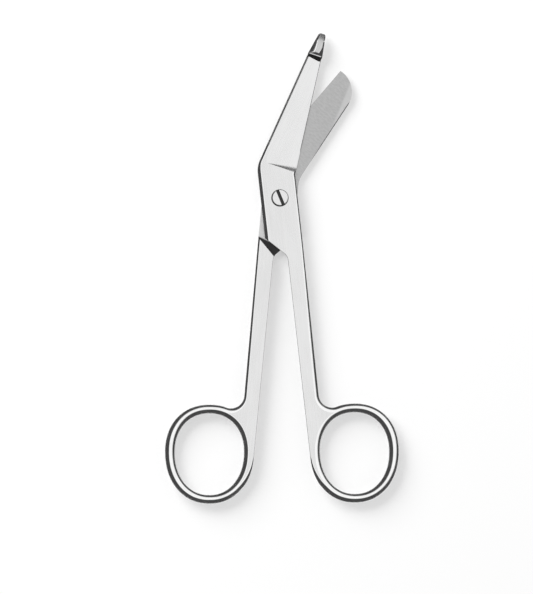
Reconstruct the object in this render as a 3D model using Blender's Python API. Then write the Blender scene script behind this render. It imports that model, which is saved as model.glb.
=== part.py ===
# Bandage scissors with angled blades, lying on their back face and standing a little open.
# The origin is on the pivot's axis in the plane that the part rests on, +Y towards the blades, +Z up.
# Each half is drawn in its own frame, as it stands with the scissors closed: origin on the pivot at the
# lap plane, handle on +X, spine of the blade on -X, the half's own level on +Z.
# The short half is such a half turned over about its long axis.
import math

import bmesh
import bpy
from mathutils import Matrix, Vector

MM = 0.001

# Whole part
THICKNESS = 4.4 * MM             # over the lap joint, the shanks and the rings
LAP_GAP = 0.3 * MM               # between the two lap faces
LONG_HALF_TURN = 6.45            # degrees that the long half stands open from closed
SHORT_HALF_TURN = -5.55          # the same for the short half, the other way

# Lap joint
JOINT_HANDLE_SIDE = 5.25 * MM    # from the pivot to the block's edge on the handle's side
SHOULDER_DISTANCE = 12.46 * MM   # from the pivot to the 45 degree shoulder that stops closing
STOP_CLEARANCE = 0.3 * MM        # left at the shoulders when closed
NOTCH_RADIUS = 3.0 * MM          # between the block's chamfer and the shank

# Shank and finger ring
HANDLE_CLEARANCE = 0.3 * MM      # from the closed middle line to the shank's inner edge
SHANK_WIDTH = 4.5 * MM           # where the shank meets the ring
RING_DISTANCE = 78.0 * MM        # from the pivot to the middle of the ring, along the part
RING_HOLE_WIDTH = 20.5 * MM
RING_HOLE_LENGTH = 24.2 * MM
RING_WALL_SIDE = 3.0 * MM
RING_WALL_END = 2.7 * MM
RING_LEAN = 5.0                  # degrees, the ring's top leaning outwards
RING_POWER = 2.15                # 2 is an ellipse, more is squarer
RING_EGG = 0.035                 # share by which the ring is wider at its top
WEB_RADIUS = 3.95 * MM           # in the angle between shank and ring

# Rounded edges: how far the rounding reaches in across the flat, and how far down the side
SHANK_ROUND_IN = 0.75 * MM
SHANK_ROUND_DOWN = 0.85 * MM
RING_ROUND_IN = 1.2 * MM
RING_ROUND_DOWN = 1.8 * MM
ROUND_CHANGE_LENGTH = 10.0 * MM  # of shank over which one rounding turns into the other

# Long blade
LONG_SPINE_SIDE = 5.75 * MM      # from the pivot to the block's edge below the spine
LONG_SPINE_ROOT = 10.0 * MM      # from the pivot along the part to where the spine bends
LONG_SPINE_LEAN = 30.7           # degrees from the part's length
LONG_EDGE_ROOT = 6.4 * MM
LONG_EDGE_LEAN = 19.2
LONG_REACH = 43.2 * MM           # from the pivot to the blade's end, along the blade

# Probe at the long blade's end. Sides are measured from the blade's middle line.
PROBE_START = 0.1 * MM           # from the blade's end to the top of the ramp
PROBE_LENGTH = 6.85 * MM         # from the top of the ramp to the blunt end
PROBE_THICKNESS = 3.1 * MM
PROBE_SPINE_SIDE = 2.2 * MM
PROBE_EDGE_SIDE = 2.28 * MM
PROBE_END_SPINE_SIDE = 0.95 * MM
PROBE_END_EDGE_SIDE = 1.1 * MM
PROBE_RAMP_SLOPE = 43.0          # degrees, from the ground face up to the collar
PROBE_RAMP_FOOT = 0.16 * MM      # of the ramp's foot over the inner face
PROBE_INNER_RAMP = 0.9 * MM      # length of the ramp on the inner face
COLLAR_LENGTH = 0.3 * MM
COLLAR_DROP = 0.45 * MM          # from the crest down to the collar
COLLAR_STEP = 0.45 * MM          # length of the step between the two
CREST_SPINE_INSET = 1.4 * MM     # from the spine's side in to the crest where it begins
CREST_EDGE_INSET = 0.95 * MM     # from the edge's side
CREST_SPINE_SLOPE = 26.0         # degrees, from the crest down to the sides
CREST_EDGE_SLOPE = 39.0
FLAT_INSET = 0.4 * MM            # from the sides in to the flat of the collar and of the blunt end
NOSE_LENGTH = 2.1 * MM
NOSE_SPINE_INSET = 0.7 * MM      # from the spine's side in to the crest where the nose begins
NOSE_DROP = 1.25 * MM            # on the outer face, and half of it on the inner face
NOSE_POWER = 1.5                 # 1 is a straight slope, more bends it towards the end
NOSE_FALL = 0.5                  # share of the side slopes that is left at the blunt end
PROBE_RIM = 0.3 * MM             # width of the bevel along the probe's edges
PROBE_RIM_SLOPE = 38.0           # degrees
PROBE_END_RIM = 0.25 * MM        # bevel round the blunt end

# Short blade
SHORT_SPINE_SIDE = 5.1 * MM
SHORT_SPINE_ROOT = 6.0 * MM
SHORT_SPINE_LEAN = -27.8
SHORT_EDGE_ROOT = 11.5 * MM
SHORT_EDGE_LEAN = -35.0
SHORT_REACH = 41.1 * MM          # from the pivot to the corner at the tip, along the blade
SHORT_TIP_RADIUS = 7.4 * MM

# Grinding of both blades
SPINE_BEND_RADIUS = 7.5 * MM
GRIND_START = 8.6 * MM           # from the pivot to the crease where the ground face begins
GRIND_RISE = 0.06 * MM           # of the ground face over the flat where it begins at the spine
GRIND_SLOPE = 44.0               # degrees, of the crease's ramp where it leaves the flat
EDGE_AT_CREASE = 0.6 * MM        # thickness of the cutting edge where the ground face begins
EDGE_THICKNESS = 0.4 * MM        # the same at the tip
TIP_SPINE_THICKNESS = 0.95 * MM
HOLLOW_DEPTH = 0.12 * MM         # of the inner face between its lands
HOLLOW_LAND = 0.8 * MM
HOLLOW_START = 0.08              # share of the ground length where the hollow begins
HOLLOW_END = 0.88                # share of it where the hollow ends

# Pivot screw
HEAD_DIAMETER = 5.0 * MM
HEAD_HEIGHT = 1.25 * MM
HEAD_CHAMFER = 0.15 * MM
SHANK_DIAMETER = 3.2 * MM
THREAD_DIAMETER = 2.5 * MM
SCREW_CLEARANCE = 0.3 * MM
SEAT_WALL = 0.6 * MM             # left under the head in the long half
SLOT_WIDTH = 0.95 * MM
SLOT_DEPTH = 0.7 * MM
SLOT_TURN = 22.5                 # degrees from the part's length

# Fineness of the curves
RING_STEPS = 56
ROUND_STEPS = 4
ARC_STEPS = 8
SCREW_STEPS = 32
TANGENT_STEP = 0.001             # turn between the two points that give a tangent

HALF = THICKNESS / 2
LAP = LAP_GAP / 2
OVERCUT = 1.0 * MM               # that a cutter runs past the surface that it cuts
SLIVER = 0.03 * MM               # that keeps a cutter's face off a face that it must not cut


def clear_scene():
    for item in list(bpy.data.objects):
        bpy.data.objects.remove(item, do_unlink=True)


def steel(name, shade, roughness):
    material = bpy.data.materials.new(name)
    material.use_nodes = True
    shader = material.node_tree.nodes["Principled BSDF"]
    shader.inputs["Base Color"].default_value = (shade, shade, shade, 1.0)
    shader.inputs["Metallic"].default_value = 1.0
    shader.inputs["Roughness"].default_value = roughness
    return material


# Plane geometry

def heading(lean):
    angle = math.radians(lean)
    return Vector((math.sin(angle), math.cos(angle)))


def left_of(direction):
    return Vector((-direction.y, direction.x))


def along(root, direction, axis, reach):
    """Point on a line through root whose distance from the pivot along the axis is reach."""
    return root + direction * ((reach - root.dot(axis)) / direction.dot(axis))


def arc(centre, start, end):
    """Shorter arc about the centre, from one radius to the other."""
    first = math.atan2(start.y, start.x)
    sweep = math.remainder(math.atan2(end.y, end.x) - first, math.tau)
    turns = [first + sweep * step / ARC_STEPS for step in range(ARC_STEPS + 1)]
    return [centre + Vector((math.cos(turn), math.sin(turn))) * start.length for turn in turns]


def rounded_corner(before, corner, after, radius):
    """Arc that replaces the corner between two straight lines."""
    back = (before - corner).normalized()
    ahead = (after - corner).normalized()
    half_angle = back.angle(ahead) / 2
    centre = corner + (back + ahead).normalized() * (radius / math.sin(half_angle))
    start = corner + back * (radius / math.tan(half_angle)) - centre
    end = corner + ahead * (radius / math.tan(half_angle)) - centre
    return arc(centre, start, end)


def inset(outline, amounts):
    """Each point moved towards the inside of a counterclockwise outline by its own amount."""
    moved = []
    for index, point in enumerate(outline):
        following = outline[(index + 1) % len(outline)]
        side_before = left_of((point - outline[index - 1]).normalized())
        side_after = left_of((following - point).normalized())
        bisector = (side_before + side_after).normalized()
        moved.append(point + bisector * (amounts[index] / bisector.dot(side_before)))
    return moved


# Finger ring: a slightly squared, egg-shaped oval, the same rule for its hole and its outer edge

def ring_point(turn, half_width, half_length):
    cosine, sine = math.cos(turn), math.sin(turn)
    across = math.copysign(abs(cosine) ** (2 / RING_POWER), cosine)
    length = math.copysign(abs(sine) ** (2 / RING_POWER), sine)
    across *= half_width * (1 + RING_EGG * length)
    length *= half_length
    return heading(RING_LEAN) * length - left_of(heading(RING_LEAN)) * across


def ring_outline(grown=0.0):
    half_width = RING_HOLE_WIDTH / 2 + grown
    half_length = RING_HOLE_LENGTH / 2 + grown
    return [ring_point(math.tau * step / RING_STEPS, half_width, half_length)
            for step in range(RING_STEPS)]


def outer_ring_point(turn):
    return ring_point(turn, RING_HOLE_WIDTH / 2 + RING_WALL_SIDE, RING_HOLE_LENGTH / 2 + RING_WALL_END)


def innermost_turn():
    """Where the ring's outer edge comes nearest to the other handle, to half a degree."""
    turns = [math.pi + math.radians(step / 2) for step in range(-90, 91)]
    return min(turns, key=lambda turn: outer_ring_point(turn).x)


def ring_centre():
    return Vector((HANDLE_CLEARANCE - outer_ring_point(innermost_turn()).x, -RING_DISTANCE))


def shank_outer_x(y):
    """The shank's outer edge tapers from the joint's side to its width at the ring."""
    top = -SHOULDER_DISTANCE
    bottom = ring_centre().y + RING_HOLE_LENGTH / 2
    share = min(max((y - top) / (bottom - top), 0.0), 1.0)
    return JOINT_HANDLE_SIDE + (HANDLE_CLEARANCE + SHANK_WIDTH - JOINT_HANDLE_SIDE) * share


def web_centre(turn):
    """Centre of the web's arc, if it touches the ring's outer edge at this turn."""
    point = outer_ring_point(turn)
    tangent = (outer_ring_point(turn + TANGENT_STEP) - point).normalized()
    return ring_centre() + point - left_of(tangent) * WEB_RADIUS


def web_turn():
    """Turn on the ring where the arc also touches the shank, found by halving."""
    low, high = math.tau + math.pi / 2, math.tau + math.pi
    for _ in range(40):
        middle = (low + high) / 2
        centre = web_centre(middle)
        if centre.x - WEB_RADIUS > shank_outer_x(centre.y):
            low = middle
        else:
            high = middle
    return (low + high) / 2


def ring_and_web():
    """Round the ring's outer edge from its inner side, then the arc of the web up to the shank."""
    first, last = innermost_turn(), web_turn()
    points = [ring_centre() + outer_ring_point(first + (last - first) * step / RING_STEPS)
              for step in range(RING_STEPS + 1)]
    centre = web_centre(last)
    return points[:-1] + arc(centre, points[-1] - centre, Vector((-WEB_RADIUS, 0)))


# Blades

class Blade:
    """Spine and cutting edge as two straight lines in the half's own frame."""

    def __init__(self, spine_side, spine_root, spine_lean, edge_root, edge_lean, reach):
        self.spine_root = Vector((-spine_side, spine_root))
        self.edge_root = Vector((JOINT_HANDLE_SIDE, edge_root))
        self.spine = heading(spine_lean)
        self.edge = heading(edge_lean)
        self.axis = heading((spine_lean + edge_lean) / 2)
        self.reach = reach

    def spine_at(self, reach):
        return along(self.spine_root, self.spine, self.axis, reach)

    def edge_at(self, reach):
        return along(self.edge_root, self.edge, self.axis, reach)

    def square_end(self):
        """End of the long blade, inside the ramp of the probe."""
        reach = self.reach - PROBE_INNER_RAMP / 3
        return [self.edge_at(reach), self.spine_at(reach)]

    def rounded_end(self, radius):
        """End of the short blade: from the corner on the edge, an arc that runs into the spine."""
        corner = self.edge_at(self.reach)
        side = -left_of(self.spine)
        depth = (corner - self.spine_root).dot(side)
        centre = corner + side * (radius - depth)
        centre += self.spine * -math.sqrt(radius ** 2 - (radius - depth) ** 2)
        return arc(centre, corner - centre, side * -radius)


def half_outline(blade, blade_end):
    """Counterclockwise from the spine's bend, round the ring and back along the cutting edge."""
    # The chamfer runs at 45 degrees like the shoulder that it meets: x and y have one sum along it
    chamfer_sum = (SHOULDER_DISTANCE - STOP_CLEARANCE) * math.sqrt(2)
    chamfer_top = Vector((blade.spine_root.x, -blade.spine_root.x - chamfer_sum))
    notch = Vector((HANDLE_CLEARANCE, -HANDLE_CLEARANCE - chamfer_sum))
    ring = ring_and_web()
    points = rounded_corner(blade_end[-1], blade.spine_root, chamfer_top, SPINE_BEND_RADIUS)
    points.append(chamfer_top)
    points += rounded_corner(chamfer_top, notch, ring[0], NOTCH_RADIUS)
    # The inner edge has points where the rounding changes
    change_top = ring_centre().y + RING_HOLE_LENGTH / 2 + ROUND_CHANGE_LENGTH
    for step in range(ARC_STEPS // 2 + 1):
        points.append(Vector((HANDLE_CLEARANCE, change_top - ROUND_CHANGE_LENGTH * 2 * step / ARC_STEPS)))
    points += ring
    points.append(Vector((shank_outer_x(change_top), change_top)))
    points.append(Vector((JOINT_HANDLE_SIDE, -SHOULDER_DISTANCE)))
    points.append(blade.edge_root)
    return points + blade_end


def edge_rounding(point):
    """How far in and down the edge is rounded at this point of the outline."""
    change_top = ring_centre().y + RING_HOLE_LENGTH / 2 + ROUND_CHANGE_LENGTH
    share = min(max((change_top - point.y) / ROUND_CHANGE_LENGTH, 0.0), 1.0)
    share = share * share * (3 - 2 * share)
    return (SHANK_ROUND_IN + (RING_ROUND_IN - SHANK_ROUND_IN) * share,
            SHANK_ROUND_DOWN + (RING_ROUND_DOWN - SHANK_ROUND_DOWN) * share)


# Solids

def add_object(name, bm, material=None):
    bmesh.ops.recalc_face_normals(bm, faces=bm.faces[:])
    mesh = bpy.data.meshes.new(name)
    bm.to_mesh(mesh)
    bm.free()
    item = bpy.data.objects.new(name, mesh)
    bpy.context.scene.collection.objects.link(item)
    if material:
        mesh.materials.append(material)
        mesh.shade_smooth()
        mesh.set_sharp_from_angle(angle=math.radians(30))
    return item


def loft(name, rings, material=None):
    """Closed solid through rings of equally many points, flat at both ends."""
    bm = bmesh.new()
    levels = [[bm.verts.new(point) for point in ring] for ring in rings]
    for lower, upper in zip(levels, levels[1:]):
        for index in range(len(lower)):
            bm.faces.new((lower[index - 1], lower[index], upper[index], upper[index - 1]))
    bm.faces.new(levels[0])
    bm.faces.new(levels[-1])
    return add_object(name, bm, material)


def box(name, size, centre):
    bm = bmesh.new()
    bmesh.ops.create_cube(bm, size=1.0)
    bmesh.ops.scale(bm, vec=size, verts=bm.verts[:])
    bmesh.ops.translate(bm, vec=centre, verts=bm.verts[:])
    return add_object(name, bm)


def turned(name, profile, material=None):
    """Solid turned about Z through pairs of radius and height, bottom to top."""
    rings = []
    for radius, height in profile:
        turns = [math.tau * step / SCREW_STEPS for step in range(SCREW_STEPS)]
        rings.append([Vector((radius * math.cos(turn), radius * math.sin(turn), height)) for turn in turns])
    return loft(name, rings, material)


def apply_tool(item, tool, operation="DIFFERENCE"):
    """Boolean with a hidden tool that turns with the piece."""
    tool.parent = item
    tool.hide_render = True
    tool.display_type = "WIRE"
    modifier = item.modifiers.new(tool.name, "BOOLEAN")
    modifier.operation = operation
    modifier.solver = "EXACT"
    modifier.object = tool


def blank(name, outline, material):
    """Forging of full thickness with rounded edges on both faces."""
    rounding = [edge_rounding(point) for point in outline]
    rings = []
    for face in (-1, 1):
        for step in range(ROUND_STEPS + 1):
            turn = math.pi / 2 * (step if face < 0 else ROUND_STEPS - step) / ROUND_STEPS
            flat = inset(outline, [across * (1 - math.sin(turn)) for across, _ in rounding])
            rings.append([Vector((point.x, point.y, face * (HALF - down * (1 - math.cos(turn)))))
                          for point, (_, down) in zip(flat, rounding)])
    return loft(name, rings, material)


def ring_hole_tool(name):
    """Hole that flares at both faces, so that the ring's inner edges are rounded."""
    centre = ring_centre()
    levels = [(-HALF - OVERCUT, RING_ROUND_IN)]
    for face in (-1, 1):
        for step in range(ROUND_STEPS + 1):
            turn = math.pi / 2 * (step if face < 0 else ROUND_STEPS - step) / ROUND_STEPS
            height = HALF + SLIVER - (RING_ROUND_DOWN + SLIVER) * (1 - math.cos(turn))
            levels.append((face * height, RING_ROUND_IN * (1 - math.sin(turn))))
    levels.append((HALF + OVERCUT, RING_ROUND_IN))
    rings = []
    for height, grown in levels:
        rings.append([Vector((centre.x + point.x, centre.y + point.y, height))
                      for point in ring_outline(grown)])
    return loft(name, rings)


def lap_tool(name):
    """Takes the other half's level away as far as the shoulder."""
    size = 2 * (LONG_REACH + PROBE_LENGTH + SHOULDER_DISTANCE)
    depth = HALF + OVERCUT + LAP
    tool = box(name, Vector((size, size, depth)), Vector((0, 0, LAP - depth / 2)))
    # The box's lower edge is turned to lie on the shoulder
    tool.location = Matrix.Rotation(math.radians(45), 3, "Z") @ Vector((0, size / 2 - SHOULDER_DISTANCE, 0))
    tool.rotation_euler.z = math.radians(45)
    return tool


def across_blade(blade, reach, across, height):
    """Point at a distance across from the spine towards the cutting edge."""
    spine, edge = blade.spine_at(reach), blade.edge_at(reach)
    point = spine + (edge - spine).normalized() * across
    return Vector((point.x, point.y, height))


def grind_section(blade, reach, spine_height, edge_height):
    """Underside of the grinding tool across the blade: rounded spine, then straight to the edge."""
    width = (blade.edge_at(reach) - blade.spine_at(reach)).length
    slope = (spine_height - edge_height) / (width - SHANK_ROUND_IN)
    section = [(-OVERCUT, spine_height - SHANK_ROUND_DOWN)]
    for step in range(ROUND_STEPS + 1):
        turn = math.pi / 2 * step / ROUND_STEPS
        section.append((SHANK_ROUND_IN * (1 - math.cos(turn)) - SLIVER,
                        spine_height - SHANK_ROUND_DOWN * (1 - math.sin(turn))))
    section.append((width + OVERCUT, edge_height - slope * OVERCUT))
    return section


def grind_tool(name, blade):
    """Cuts the outer face from the crease to the tip, thinner towards the cutting edge and the tip."""
    top = HALF + OVERCUT
    start_height, end_height = HALF + GRIND_RISE, LAP + TIP_SPINE_THICKNESS
    start_edge, end_edge = LAP + EDGE_AT_CREASE, LAP + EDGE_THICKNESS
    far = blade.reach + 2 * OVERCUT
    rings = []
    # The crease's ramp is longer where the cut is deeper, and fades into the ground face
    run = 2 / math.tan(math.radians(GRIND_SLOPE))
    crease = grind_section(blade, GRIND_START, start_height, start_edge)
    for step in range(ROUND_STEPS + 1):
        share = step / ROUND_STEPS
        ring = []
        for across, height in crease:
            depth = start_height + SLIVER - height
            ring.append(across_blade(blade, GRIND_START + depth * run * share, across,
                                     height + depth * (1 - share) ** 2))
        ring.append(across_blade(blade, ring[-1].xy.dot(blade.axis), across, top))
        ring.append(across_blade(blade, ring[0].xy.dot(blade.axis), -OVERCUT, top))
        rings.append(ring)
    for share in (0.5, 1.0):
        reach = GRIND_START + (far - GRIND_START) * share
        section = grind_section(blade, reach, start_height + (end_height - start_height) * share,
                                start_edge + (end_edge - start_edge) * share)
        section += [(section[-1][0], top), (-OVERCUT, top)]
        rings.append([across_blade(blade, reach, across, height) for across, height in section])
    return loft(name, rings)


def hollow_tool(name, blade):
    """Shallow hollow along the inner face, fading out at both ends."""
    rings = []
    ground_length = blade.reach - GRIND_START
    for station in range(ARC_STEPS + 1):
        share = station / ARC_STEPS
        reach = GRIND_START + ground_length * (HOLLOW_START + (HOLLOW_END - HOLLOW_START) * share)
        width = (blade.edge_at(reach) - blade.spine_at(reach)).length - 2 * HOLLOW_LAND
        depth = HOLLOW_DEPTH * math.sqrt(math.sin(math.pi * share))
        ring = []
        for step in range(ARC_STEPS + 1):
            place = 2 * step / ARC_STEPS - 1
            rise = (depth + SLIVER) * (1 - place * place) - SLIVER
            ring.append(across_blade(blade, reach, HOLLOW_LAND + width * step / ARC_STEPS, LAP + rise))
        ring.append(across_blade(blade, reach, HOLLOW_LAND + width, LAP - OVERCUT))
        ring.append(across_blade(blade, reach, HOLLOW_LAND, LAP - OVERCUT))
        rings.append(ring)
    return loft(name, rings)


def probe_ring(blade, reach, sides, insets, top, bottom, fall=1.0):
    """Section of the probe: a flat crest, a slope to each side, bevelled edges. Fall scales the slopes."""
    spine_side, edge_side = sides
    spine_inset, edge_inset = insets
    bevel = fall * PROBE_RIM * math.tan(math.radians(PROBE_RIM_SLOPE))
    shoulder = top - fall * (spine_inset - PROBE_RIM) * math.tan(math.radians(CREST_SPINE_SLOPE))
    edge_height = top - fall * edge_inset * math.tan(math.radians(CREST_EDGE_SLOPE))
    profile = [(-spine_side, shoulder - bevel), (-spine_side + PROBE_RIM, shoulder),
               (-spine_side + spine_inset, top), (edge_side - edge_inset, top), (edge_side, edge_height),
               (edge_side, bottom + bevel), (edge_side - PROBE_RIM, bottom),
               (-spine_side + PROBE_RIM, bottom), (-spine_side, bottom + bevel)]
    middle = (blade.spine_at(blade.reach) + blade.edge_at(blade.reach)) / 2
    middle += blade.axis * (reach - blade.reach)
    across = -left_of(blade.axis)
    return [Vector((*(middle + across * place), height)) for place, height in profile]


def probe(name, blade):
    """Blunt end that slides under a bandage: a ramp, a collar, a step up to a tapering crest, a nose."""
    high, low = HALF, HALF - PROBE_THICKNESS
    collar_high = high - COLLAR_DROP
    collar = blade.reach + PROBE_START
    foot = LAP + PROBE_RAMP_FOOT
    ramp_start = collar - (collar_high - foot) / math.tan(math.radians(PROBE_RAMP_SLOPE))
    foot_side = (blade.edge_at(ramp_start) - blade.spine_at(ramp_start)).length / 2 - PROBE_RIM
    flat_insets = (FLAT_INSET, FLAT_INSET)
    crest_insets = (CREST_SPINE_INSET, CREST_EDGE_INSET)

    def sides_at(reach, narrowed=0.0):
        share = (reach - collar) / PROBE_LENGTH
        return (PROBE_SPINE_SIDE + (PROBE_END_SPINE_SIDE - PROBE_SPINE_SIDE) * share - narrowed,
                PROBE_EDGE_SIDE + (PROBE_END_EDGE_SIDE - PROBE_EDGE_SIDE) * share - narrowed)

    rings = []
    for reach in (ramp_start, collar - PROBE_INNER_RAMP):
        share = (reach - ramp_start) / (collar - ramp_start)
        sides = [foot_side + (side - foot_side) * share for side in sides_at(collar)]
        rings.append(probe_ring(blade, reach, sides, flat_insets, foot + (collar_high - foot) * share,
                                LAP + SLIVER, share))
    for reach in (collar, collar + COLLAR_LENGTH):
        rings.append(probe_ring(blade, reach, sides_at(reach), flat_insets, collar_high, low))
    crest_start = collar + COLLAR_LENGTH + COLLAR_STEP
    rings.append(probe_ring(blade, crest_start, sides_at(crest_start), crest_insets, high, low))
    end = collar + PROBE_LENGTH
    for step in range(ROUND_STEPS + 1):
        share = step / ROUND_STEPS
        reach = end - NOSE_LENGTH + (NOSE_LENGTH - PROBE_END_RIM) * share
        drop = NOSE_DROP * share ** NOSE_POWER
        insets = (NOSE_SPINE_INSET + (FLAT_INSET - NOSE_SPINE_INSET) * share, FLAT_INSET)
        rings.append(probe_ring(blade, reach, sides_at(reach), insets, high - drop, low + drop / 2,
                                1 + (NOSE_FALL - 1) * share))
    blunt = NOSE_DROP + PROBE_END_RIM, NOSE_DROP / 2 + PROBE_END_RIM
    rings.append(probe_ring(blade, end, sides_at(end, PROBE_END_RIM), flat_insets,
                            high - blunt[0], low + blunt[1], NOSE_FALL))
    return loft(name, rings)


def screw_levels():
    """Heights in the long half's own frame: under the head, and the head's top."""
    seat = LAP + SEAT_WALL
    under_head = seat + SCREW_CLEARANCE
    return seat, under_head, under_head + HEAD_HEIGHT


def screw_holes(long_half, short_half):
    seat = screw_levels()[0]
    bore = SHANK_DIAMETER / 2 + SCREW_CLEARANCE
    counterbore = HEAD_DIAMETER / 2 + SCREW_CLEARANCE
    apply_tool(long_half, turned("long_half_bore", [
        (bore, -OVERCUT), (bore, seat), (counterbore, seat), (counterbore, HALF + OVERCUT)]))
    hole = THREAD_DIAMETER / 2 + SCREW_CLEARANCE
    apply_tool(short_half, turned("short_half_hole", [(hole, -OVERCUT), (hole, HALF + OVERCUT)]))


def make_long_half(material):
    blade = Blade(LONG_SPINE_SIDE, LONG_SPINE_ROOT, LONG_SPINE_LEAN,
                  LONG_EDGE_ROOT, LONG_EDGE_LEAN, LONG_REACH)
    item = blank("long_blade_half", half_outline(blade, blade.square_end()), material)
    apply_tool(item, lap_tool("long_half_lap"))
    apply_tool(item, grind_tool("long_blade_grind", blade))
    apply_tool(item, hollow_tool("long_blade_hollow", blade))
    apply_tool(item, probe("long_blade_probe", blade), "UNION")
    apply_tool(item, ring_hole_tool("long_half_ring_hole"))
    item.location.z = HALF
    item.rotation_euler.z = math.radians(LONG_HALF_TURN)
    return item


def make_short_half(material):
    blade = Blade(SHORT_SPINE_SIDE, SHORT_SPINE_ROOT, SHORT_SPINE_LEAN,
                  SHORT_EDGE_ROOT, SHORT_EDGE_LEAN, SHORT_REACH)
    item = blank("short_blade_half", half_outline(blade, blade.rounded_end(SHORT_TIP_RADIUS)), material)
    apply_tool(item, lap_tool("short_half_lap"))
    apply_tool(item, grind_tool("short_blade_grind", blade))
    apply_tool(item, hollow_tool("short_blade_hollow", blade))
    apply_tool(item, ring_hole_tool("short_half_ring_hole"))
    item.location.z = HALF
    # Turned over about its length first, then opened
    item.rotation_euler = (0.0, math.pi, math.radians(SHORT_HALF_TURN))
    return item


def make_screw(material):
    """Slotted head over a plain shank, then the end that is fast in the short half."""
    _, under_head, top = screw_levels()
    head, shank, thread = HEAD_DIAMETER / 2, SHANK_DIAMETER / 2, THREAD_DIAMETER / 2
    item = turned("pivot_screw", [
        (thread, -HALF), (thread, LAP), (shank, LAP), (shank, under_head), (head, under_head),
        (head, top - HEAD_CHAMFER), (head - HEAD_CHAMFER, top)], material)
    length = HEAD_DIAMETER + 2 * OVERCUT
    depth = SLOT_DEPTH + OVERCUT
    slot = box("screw_slot", Vector((SLOT_WIDTH, length, depth)),
               Vector((0, 0, top - SLOT_DEPTH + depth / 2)))
    slot.rotation_euler.z = math.radians(SLOT_TURN)
    apply_tool(item, slot)
    item.location.z = HALF
    return item


clear_scene()
satin = steel("satin_steel", 0.6, 0.3)
screw_steel = steel("screw_steel", 0.65, 0.22)
long_half = make_long_half(satin)
short_half = make_short_half(satin)
screw_holes(long_half, short_half)
make_screw(screw_steel)
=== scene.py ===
# Bandage scissors lying a little open on a pale floor, seen from straight above.
# Both halves and the screw are made again here, finer than in the CAD, from the same sizes in millimetres.
from math import atan2, copysign, cos, degrees, pi, radians, remainder, sin, sqrt, tan, tau

import bmesh
import bpy
from mathutils import Matrix, Vector


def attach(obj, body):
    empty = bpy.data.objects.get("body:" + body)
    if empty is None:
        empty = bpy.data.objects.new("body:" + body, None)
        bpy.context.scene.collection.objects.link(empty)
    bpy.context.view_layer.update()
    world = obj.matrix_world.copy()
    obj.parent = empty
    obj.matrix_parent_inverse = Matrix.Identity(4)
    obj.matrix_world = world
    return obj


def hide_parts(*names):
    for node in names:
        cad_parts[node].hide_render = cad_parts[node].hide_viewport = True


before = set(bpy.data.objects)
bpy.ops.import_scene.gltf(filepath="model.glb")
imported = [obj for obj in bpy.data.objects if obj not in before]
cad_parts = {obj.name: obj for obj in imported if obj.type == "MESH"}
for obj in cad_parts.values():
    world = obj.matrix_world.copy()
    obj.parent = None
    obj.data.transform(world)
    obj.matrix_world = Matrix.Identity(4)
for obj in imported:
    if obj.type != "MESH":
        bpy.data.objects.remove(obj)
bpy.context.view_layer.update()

print("frame loaded:", ", ".join(sorted(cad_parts)))


# Small helpers

def addObject(name, data):
    item = bpy.data.objects.new(name, data)
    bpy.context.scene.collection.objects.link(item)
    return item


def riseOf(slope):
    return tan(radians(slope))


def raised(point, height):
    return Vector((point.x, point.y, height))


def linearColour(hexText):
    # sRGB hex to the linear values that a shader socket takes
    channels = [int(hexText[start:start + 2], 16) / 255 for start in (1, 3, 5)]
    return [c / 12.92 if c <= 0.04045 else ((c + 0.055) / 1.055) ** 2.4 for c in channels] + [1.0]


def addNode(tree, kind, settings=None, links=None):
    # settings: property names, or input numbers and names; links: input -> (node, output), or a node alone
    # for its first output
    node = tree.nodes.new(kind)
    for key, value in (settings or {}).items():
        if isinstance(key, str) and hasattr(node, key):
            setattr(node, key, value)
        else:
            node.inputs[key].default_value = value
    for key, link in (links or {}).items():
        source, output = link if isinstance(link, tuple) else (link, 0)
        tree.links.new(source.outputs[output], node.inputs[key])
    return node


# Steels. A pattern's Scale in a Mapping node of the Texture type is the real size of its grain in metres.

lineDepth = 0.00002                      # of belt and grinding lines, metres


def newSteel(name, colour, roughness):
    material = bpy.data.materials.new(name)
    material.use_nodes = True
    tree = material.node_tree
    shader = tree.nodes["Principled BSDF"]
    for key, value in (("Base Color", linearColour(colour)), ("Roughness", roughness), ("Metallic", 1.0)):
        shader.inputs[key].default_value = value
    return material, tree, shader, addNode(tree, "ShaderNodeTexCoord")


def grainPattern(tree, place, size, lean=0.0, detail=2.0, roughness=0.5):
    # Noise whose grain has this real size and leans with the piece
    grainMap = addNode(tree, "ShaderNodeMapping", {
        "vector_type": "TEXTURE", "Rotation": (0.0, 0.0, -radians(lean)), "Scale": size},
        {"Vector": (place, "Object")})
    return addNode(tree, "ShaderNodeTexNoise", {"Scale": 1.0, "Detail": detail, "Roughness": roughness},
                   {"Vector": grainMap})


def bothPatterns(tree, first, second):
    return addNode(tree, "ShaderNodeMix", {"data_type": "FLOAT", "Factor": 0.5},
                   {"A": (first, "Fac"), "B": (second, "Fac")}), "Result"


def showPattern(tree, shader, pattern, shades, stops, roughness=None, spread=(0.3, 0.7)):
    # The pattern runs from the dark shade to the pale one, and from the smoother to the rougher
    colour = addNode(tree, "ShaderNodeValToRGB", None, {"Fac": pattern})
    for element, stop, shade in zip(colour.color_ramp.elements, stops, shades):
        element.position = stop
        element.color = linearColour(shade)
    tree.links.new(colour.outputs["Color"], shader.inputs["Base Color"])
    if roughness:
        level = addNode(tree, "ShaderNodeMapRange", {
            "From Min": spread[0], "From Max": spread[1], "To Min": roughness[0], "To Max": roughness[1]},
            {"Value": pattern})
        tree.links.new(level.outputs["Result"], shader.inputs["Roughness"])
    return colour


def cutLines(tree, shader, strength, pattern):
    bump = addNode(tree, "ShaderNodeBump", {"Strength": strength, "Distance": lineDepth}, {"Height": pattern})
    tree.links.new(bump.outputs["Normal"], shader.inputs["Normal"])


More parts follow.
